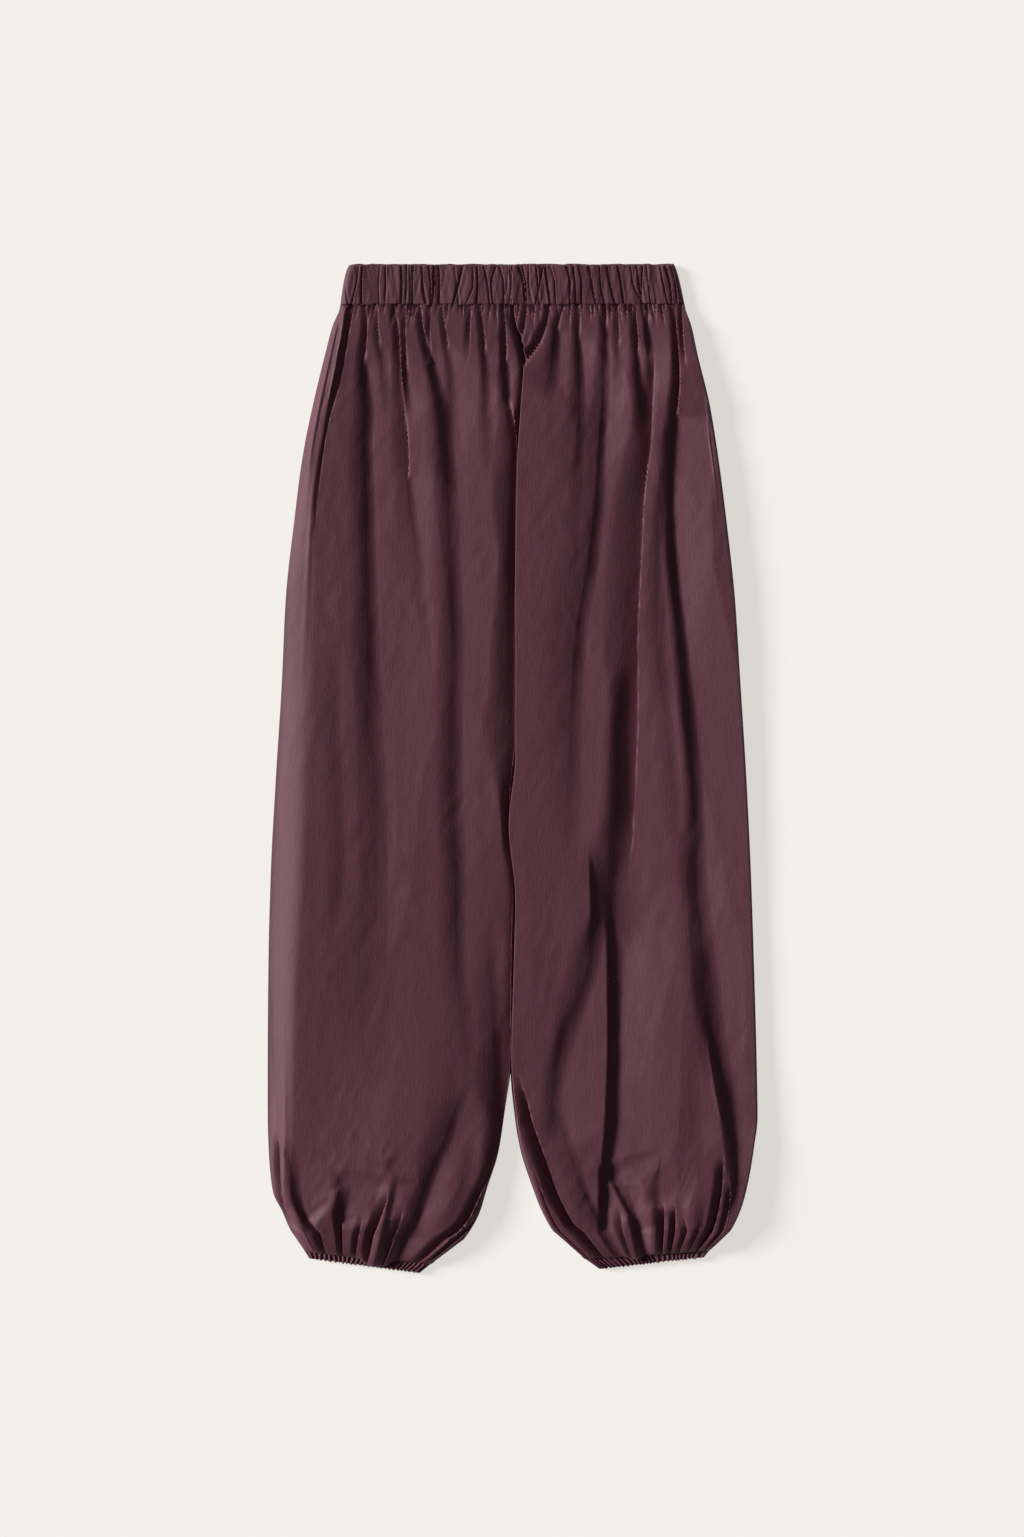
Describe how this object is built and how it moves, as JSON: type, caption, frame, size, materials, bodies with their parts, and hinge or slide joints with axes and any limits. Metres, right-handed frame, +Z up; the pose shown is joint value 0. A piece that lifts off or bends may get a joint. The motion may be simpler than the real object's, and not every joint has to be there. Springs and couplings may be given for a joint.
{
  "type": "gathered balloon trousers",
  "caption": "Loose trousers laid flat, front up, with a gathered elastic waistband, full pleated legs and balloon hems gathered into narrow elastic casings.",
  "frame": {"origin": "on the surface that the trousers lie on, under the middle of the bounding box", "axes": "+X towards the wearer's left, +Y from the hems to the waist, +Z up from the surface, out of the front"},
  "size_m": [0.489, 1.009, 0.021],
  "materials": {
    "leg_cloth": "matt crisp cotton poplin, dark plum",
    "waist_cloth": "matt cotton poplin gathered over elastic, dark plum",
    "hem_cloth": "matt cotton poplin gathered over narrow elastic, dark plum"
  },
  "bodies": {
    "root": {"waistband_front": "waist_cloth", "waistband_back": "waist_cloth", "right_front_leg": "leg_cloth", "left_front_leg": "leg_cloth", "right_back_leg": "leg_cloth", "left_back_leg": "leg_cloth", "right_hem_front": "hem_cloth", "right_hem_back": "hem_cloth", "left_hem_front": "hem_cloth", "left_hem_back": "hem_cloth"}
  },
  "joints": []
}
